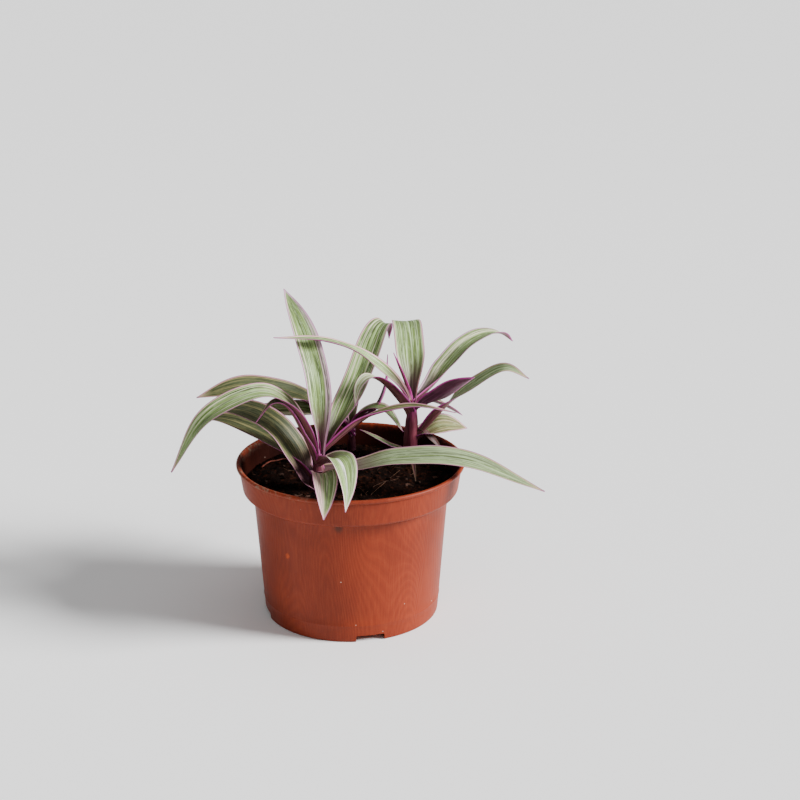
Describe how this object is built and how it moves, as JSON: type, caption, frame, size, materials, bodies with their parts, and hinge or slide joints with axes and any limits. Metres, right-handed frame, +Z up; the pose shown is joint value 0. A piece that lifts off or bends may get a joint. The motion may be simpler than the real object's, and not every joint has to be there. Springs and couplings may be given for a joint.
{
  "type": "potted tradescantia",
  "caption": "House plant with arching, striped, purple-backed leaves in rosettes, growing in peat mix in a round terracotta-coloured plastic nursery pot.",
  "frame": {"origin": "middle of the whole plant's bounding box, at the height of the surface that the pot stands on", "axes": "+Z up, +Y away from the pictured side, +X to the right as the picture sees it"},
  "size_m": [0.1908, 0.1554, 0.1681],
  "materials": {
    "terracotta_plastic": "satin, terracotta-coloured polypropylene with fine upright mould lines",
    "peat": "rough, nearly black moist peat with pale fibres",
    "foliage_left": "satin leaf, grey-green with cream stripes and pink margins, purple below",
    "foliage_right": "satin leaf, pale grey-green with fine cream stripes, purple below",
    "foliage_back": "satin leaf, streaked green with pink margins, purple below"
  },
  "bodies": {
    "root": {"pot": "terracotta_plastic", "potting_mix": "peat", "plant_left": "foliage_left", "plant_right": "foliage_right", "plant_back": "foliage_back"}
  },
  "joints": []
}
